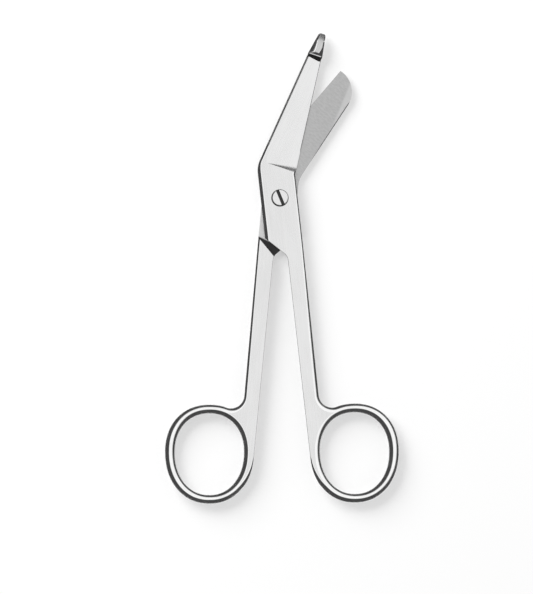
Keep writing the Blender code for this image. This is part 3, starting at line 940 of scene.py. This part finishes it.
def smoothPiece(item, sharpFrom, flats):
    item.data.shade_smooth()
    item.data.set_sharp_from_angle(angle=radians(sharpFrom))
    weighted = item.modifiers.new("flatNormals", "WEIGHTED_NORMAL")
    weighted.keep_sharp = True
    weighted.weight = flats
    print(item.name, len(item.data.polygons), "faces")


def finishHalf(item, turnOver, openTurn, steels):
    # Into metres, into its place, edges sharp where they are, flats flat
    mesh = item.data
    for index, steel in enumerate(steels):
        mesh.materials[index] = steel
    while len(mesh.materials) > len(steels):
        mesh.materials.pop()
    place = Matrix.Translation((0, 0, half)) @ Matrix.Rotation(radians(openTurn), 4, "Z")
    if turnOver:
        place = place @ Matrix.Rotation(pi, 4, "Y")
    bm = bmesh.new()
    bm.from_mesh(mesh)
    bmesh.ops.remove_doubles(bm, verts=bm.verts[:], dist=finish["weld"])
    bmesh.ops.dissolve_degenerate(bm, edges=bm.edges[:], dist=finish["sliverEdge"])
    bm.to_mesh(mesh)
    bm.free()
    mesh.transform(Matrix.Scale(millimetre, 4) @ place)
    smoothPiece(item, finish["halfSharp"], finish["halfFlats"])


# Where the wedge of painted shade begins: the shoulder's end on the handle side, a little towards the pivot
shadeInset = 0.35
wedge = 45.0 - ground["shoulderShadeTurn"]
shoulderEnd = Vector((forging["jointHandleSide"],
                      forging["jointHandleSide"] - forging["shoulderDistance"] * sqrt(2) + shadeInset))


def groundForging(name, blade, bladeEnd):
    item = blank(name, *halfOutline(blade, bladeEnd))
    applyTool(item, lapTool())
    applyTool(item, grindTool(blade))
    applyTool(item, hollowTool(blade))
    return item


def makeLongHalf():
    blade = Blade(longBlade)
    squareEnd = blade.reach - probe["innerRamp"] / 3
    item = groundForging("longBladeHalf", blade, [blade.edgeAt(squareEnd), blade.spineAt(squareEnd)])
    applyTool(item, probeTool(blade), "UNION")
    applyTool(item, ringHoleTool())
    bore = screw["shankRadius"] + screw["clearance"]
    counterbore = screw["counterboreRadius"]
    tool = boreTool([(bore, -overcut), (bore, seatHeight), (counterbore, seatHeight),
                     (counterbore, half + overcut)])
    tool.data.transform(Matrix.Translation((*screw["boreShift"], 0)))
    applyTool(item, tool)
    turn = stance["longTurn"]
    finishHalf(item, False, turn, [
        makeSatinSteel("satinStainlessLong", -turn, "flat"), buffedSteel,
        makeGroundSteel("crossGroundLong", (longBlade["spineLean"] + longBlade["edgeLean"]) / 2 - turn,
                        worldPlace(shoulderEnd, False, turn), wedge + turn), shadedRecessSteel,
        makeSatinSteel("satinStainlessLongBlade", longBlade["spineLean"] - turn, "blade"),
        makeSatinSteel("satinStainlessProbe", longBlade["spineLean"] - turn, "probe")])
    return item


def makeShortHalf():
    blade = Blade(shortBlade)
    item = groundForging("shortBladeHalf", blade, roundedTip(blade))
    applyTool(item, spineBreakTool(blade))
    applyTool(item, ringHoleTool())
    hole = screw["threadRadius"] + screw["clearance"]
    applyTool(item, boreTool([(hole, -overcut), (hole, half + overcut)]))
    turn = stance["shortTurn"]
    band = shortBlade["band"]
    bandRoot = blade.spineAt(band["reach"]) + blade.spine.orthogonal() * -band["inset"]
    finishHalf(item, True, turn, [
        makeSatinSteel("satinStainlessShort", -turn, "flat"), buffedSteel,
        makeGroundSteel("crossGroundShort", -(shortBlade["spineLean"] + shortBlade["edgeLean"]) / 2 - turn,
                        worldPlace(shoulderEnd, True, turn), turn - wedge,
                        (worldPlace(bandRoot, True, turn), -shortBlade["spineLean"] - turn - band["turn"])),
        shadedRecessSteel,
        makeSatinSteel("satinStainlessShortBlade", -shortBlade["spineLean"] - turn, "blade")])
    return item


buffedSteel = makeBuffedSteel()
shadedRecessSteel = makeShadedRecessSteel()
longHalf = makeLongHalf()
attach(longHalf, "long_half")
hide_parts("long_blade_half")
shortHalf = makeShortHalf()
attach(shortHalf, "short_half")
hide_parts("short_blade_half")


def addSocket(tree, name, kind, direction="INPUT"):
    tree.interface.new_socket(name=name, in_out=direction, socket_type="NodeSocket" + kind)


def turnedScrewTree(values):
    # The outline in the object is swept round the axis, the thread runs round it as a helix, a blade saws
    # the slot
    tree = bpy.data.node_groups.new("turnedScrew", "GeometryNodeTree")
    addSocket(tree, "Outline", "Geometry")
    for name, value in values.items():
        addSocket(tree, name, {float: "Float", int: "Int", tuple: "Vector"}.get(type(value), "Material"))
    addSocket(tree, "Screw", "Geometry", "OUTPUT")
    given = addNode(tree, "NodeGroupInput")
    outline = addNode(tree, "GeometryNodeMeshToCurve", None, {0: (given, "Outline")})
    circle = addNode(tree, "GeometryNodeCurvePrimitiveCircle", None, {
        "Resolution": (given, "Steps Round"), "Radius": (given, "Sweep Radius")})
    body = addNode(tree, "GeometryNodeCurveToMesh", None, {"Curve": circle, "Profile Curve": outline})
    body = addNode(tree, "GeometryNodeMergeByDistance", {"Distance": screw["poleWeld"]}, {"Geometry": body})

    # Thread: pushed in by a wave whose phase is the height in pitches less the turn round the axis
    position = addNode(tree, "GeometryNodeInputPosition")
    parts = addNode(tree, "ShaderNodeSeparateXYZ", None, {0: position})
    turn = addNode(tree, "ShaderNodeMath", {"operation": "ARCTAN2"}, {0: (parts, "Y"), 1: (parts, "X")})
    rise = addNode(tree, "ShaderNodeMath", {"operation": "DIVIDE"}, {
        0: (parts, "Z"), 1: (given, "Thread Pitch")})
    rise = addNode(tree, "ShaderNodeMath", {"operation": "MULTIPLY", 1: tau}, {0: rise})
    phase = addNode(tree, "ShaderNodeMath", {"operation": "SUBTRACT"}, {0: rise, 1: turn})
    wave = addNode(tree, "ShaderNodeMath", {"operation": "COSINE"}, {0: phase})
    depth = addNode(tree, "ShaderNodeMath", {"operation": "MULTIPLY"}, {0: wave, 1: (given, "Thread Depth")})
    outward = addNode(tree, "ShaderNodeVectorMath", {"operation": "MULTIPLY", 1: (1.0, 1.0, 0.0)}, {
        0: position})
    outward = addNode(tree, "ShaderNodeVectorMath", {"operation": "NORMALIZE"}, {0: outward})
    push = addNode(tree, "ShaderNodeVectorMath", {"operation": "SCALE"}, {0: outward, "Scale": depth})
    inThread = addNode(tree, "FunctionNodeCompare", {"operation": "LESS_THAN"}, {
        "A": (parts, "Z"), "B": (given, "Thread Top")})
    body = addNode(tree, "GeometryNodeSetPosition", None, {
        "Geometry": body, "Selection": inThread, "Offset": push})
    body = addNode(tree, "GeometryNodeSetMaterial", None, {
        "Geometry": body, "Material": (given, "Screw Steel")})

    # Slot
    saw = addNode(tree, "GeometryNodeMeshCube", None, {"Size": (given, "Saw Size")})
    saw = addNode(tree, "GeometryNodeTransform", None, {
        "Geometry": saw, "Translation": (given, "Saw Place"), "Rotation": (given, "Saw Turn")})
    saw = addNode(tree, "GeometryNodeSetMaterial", None, {
        "Geometry": saw, "Material": (given, "Slot Steel")})
    sawn = addNode(tree, "GeometryNodeMeshBoolean", {"operation": "DIFFERENCE", "solver": "EXACT"}, {
        "Mesh 1": body, "Mesh 2": saw})
    realized = addNode(tree, "GeometryNodeRealizeInstances", None, {0: sawn})
    addNode(tree, "NodeGroupOutput", None, {"Screw": realized})
    return tree


def makeScrew():
    # Outline from the middle of the thread's end up to the middle of the head, radius and height
    rim, radius, under = screw["headRim"], screw["headRadius"], screw["underRim"]
    steps, threadTop = screw["threadSteps"], lap - screw["threadStop"]
    threadEnd = -half + screw["endBreak"][1]
    outline = [(0.0, -half), (screw["threadRadius"] - screw["endBreak"][0], -half)]
    outline += [(screw["threadRadius"] - screw["threadDepth"],
                 threadEnd + (threadTop - threadEnd) * step / steps) for step in range(steps + 1)]
    outline += [(screw["threadRadius"], lap), (screw["shankRadius"], lap), (screw["shankRadius"], underHead),
                (radius - under, underHead), (radius, underHead + under)]
    headEdge = softSlope(radians(screw["headRimSlope"]), screw["headRimSoftness"], screw["headRimSteps"])
    outline += [(radius - rim + rim * out, headTop - rim * drop) for out, drop in reversed(headEdge)]
    outline.append((0.0, headTop))
    mesh = bpy.data.meshes.new("pivotScrewOutline")
    # The sweep takes the outline's Y as height downwards and its X from the sweep's circle
    mesh.from_pydata([(across - screw["sweepRadius"], -height, 0.0) for across, height in outline],
                     [(index, index + 1) for index in range(len(outline) - 1)], [])
    item = addObject("pivotScrew", mesh)
    values = {
        "Sweep Radius": screw["sweepRadius"], "Steps Round": screw["stepsRound"], "Thread Top": threadTop,
        "Thread Pitch": screw["threadPitch"], "Thread Depth": screw["threadDepth"],
        "Saw Size": (screw["slotWidth"], screw["sawLength"], screw["sawHeight"]),
        "Saw Place": (screw["slotOffset"], 0.0, headTop - screw["slotDepth"] + screw["sawHeight"] / 2),
        "Saw Turn": (0.0, 0.0, radians(screw["slotTurn"])),
        # the slot's dark steel is painted shade
        "Screw Steel": makeScrewSteel(), "Slot Steel": shadedRecessSteel,
    }
    tree = turnedScrewTree(values)
    modifier = item.modifiers.new("turnedScrew", "NODES")
    modifier.node_group = tree
    sockets = {socket.name: socket.identifier for socket in tree.interface.items_tree}
    for name, value in values.items():
        modifier[sockets[name]] = value
    bakeModifiers(item)
    mesh = item.data
    mesh.transform(Matrix.Scale(millimetre, 4) @ Matrix.Translation((0, 0, half)))
    bm = bmesh.new()
    bm.from_mesh(mesh)
    bmesh.ops.recalc_face_normals(bm, faces=bm.faces[:])
    bm.to_mesh(mesh)
    bm.free()
    smoothPiece(item, finish["screwSharp"], finish["screwFlats"])
    return item


pivotScrew = makeScrew()
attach(pivotScrew, "short_half")
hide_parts("pivot_screw")


# Camera, floor and light

photo = {
    "pixelsHigh": 594,
    "pixelSize": 0.0002974,         # metres on the object for each pixel
    "centre": (-0.0040, -0.0295),
    "distance": 1.5,
    "objectHeight": 0.0044,
    "sensor": 24.0,
}

camera = addObject("camera", bpy.data.cameras.new("camera"))
camera.location = (*photo["centre"], photo["distance"] + photo["objectHeight"])
camera.data.sensor_fit = "VERTICAL"
camera.data.sensor_height = photo["sensor"]
camera.data.lens = photo["sensor"] * photo["distance"] / (photo["pixelsHigh"] * photo["pixelSize"])
camera.data.clip_end = 10.0
bpy.context.scene.camera = camera


def seenOrMirrored(tree):
    # 1 for what the camera sees, straight or mirrored or through glass; 0 for the light on matt surfaces
    rays = addNode(tree, "ShaderNodeLightPath")
    seen = (rays, "Is Camera Ray")
    for ray in ("Is Glossy Ray", "Is Transmission Ray"):
        seen = addNode(tree, "ShaderNodeMath", {"operation": "MAXIMUM"}, {0: seen, 1: (rays, ray)})
    return seen


floorLook = {"reach": 3.0, "level": -0.0001, "white": "#fdfdfd", "glow": 0.42}

reach, level = floorLook["reach"], floorLook["level"]
floorMesh = bpy.data.meshes.new("floor")
floorMesh.from_pydata([(-reach, -reach, level), (reach, -reach, level), (reach, reach, level),
                       (-reach, reach, level)], [], [(0, 1, 2, 3)])
floor = addObject("floor", floorMesh)

floorPaper = bpy.data.materials.new("paleFloorPaper")
floorPaper.use_nodes = True
tree = floorPaper.node_tree
tree.nodes.clear()
share = addNode(tree, "ShaderNodeMath", {"operation": "MULTIPLY", 1: floorLook["glow"]}, {
    0: seenOrMirrored(tree)})
paper = addNode(tree, "ShaderNodeBsdfDiffuse", {"Color": linearColour(floorLook["white"])})
glow = addNode(tree, "ShaderNodeEmission", {"Strength": 1.0})
mixed = addNode(tree, "ShaderNodeMixShader", None, {0: share, 1: paper, 2: glow})
addNode(tree, "ShaderNodeOutputMaterial", None, {"Surface": mixed})
floorMesh.materials.append(floorPaper)

studio = {
    "domeAxis": (0.23, 0.25, 1.0),  # the bright part of the tent leans right and away from the viewer
    "domeEdge": (0.515, 0.656),     # cosine from the axis where the dark begins and where it is full white
    "domeWhite": 1.04,
    "domeDark": 0.06,
    "ambient": 0.54,                # what the tent and the room give to matt surfaces such as the floor
    "keyPlace": (-0.8, 0.84, 0.84),
    "keySize": 1.05,
    "keyPower": 21.8,
}

world = bpy.data.worlds.new("softTent")
bpy.context.scene.world = world
world.use_nodes = True
tree = world.node_tree
tree.nodes.clear()
direction = addNode(tree, "ShaderNodeTexCoord")
axis = Vector(studio["domeAxis"]).normalized()
facing = addNode(tree, "ShaderNodeVectorMath", {"operation": "DOT_PRODUCT", 1: tuple(axis)}, {
    0: (direction, "Generated")})
bright = addNode(tree, "ShaderNodeMapRange", {
    "interpolation_type": "SMOOTHSTEP", "From Min": studio["domeEdge"][0], "From Max": studio["domeEdge"][1],
    "To Min": studio["domeDark"], "To Max": studio["domeWhite"]}, {"Value": (facing, "Value")})
strength = addNode(tree, "ShaderNodeMix", {"data_type": "FLOAT", "A": studio["ambient"]}, {
    "Factor": seenOrMirrored(tree), "B": (bright, "Result")})
background = addNode(tree, "ShaderNodeBackground", {"Color": (1, 1, 1, 1)}, {
    "Strength": (strength, "Result")})
addNode(tree, "ShaderNodeOutputWorld", None, {"Surface": background})

keyData = bpy.data.lights.new("keySoftbox", "AREA")
keyData.shape = "SQUARE"
keyData.size = studio["keySize"]
keyData.energy = studio["keyPower"]
key = addObject("keySoftbox", keyData)
key.location = studio["keyPlace"]
key.rotation_euler = (-Vector(studio["keyPlace"])).to_track_quat("-Z", "Y").to_euler()
key.visible_glossy = False          # screened off from the polished steel, which mirrors the tent alone

bpy.context.scene.view_settings.view_transform = "Standard"
print("camera, floor and light ready")
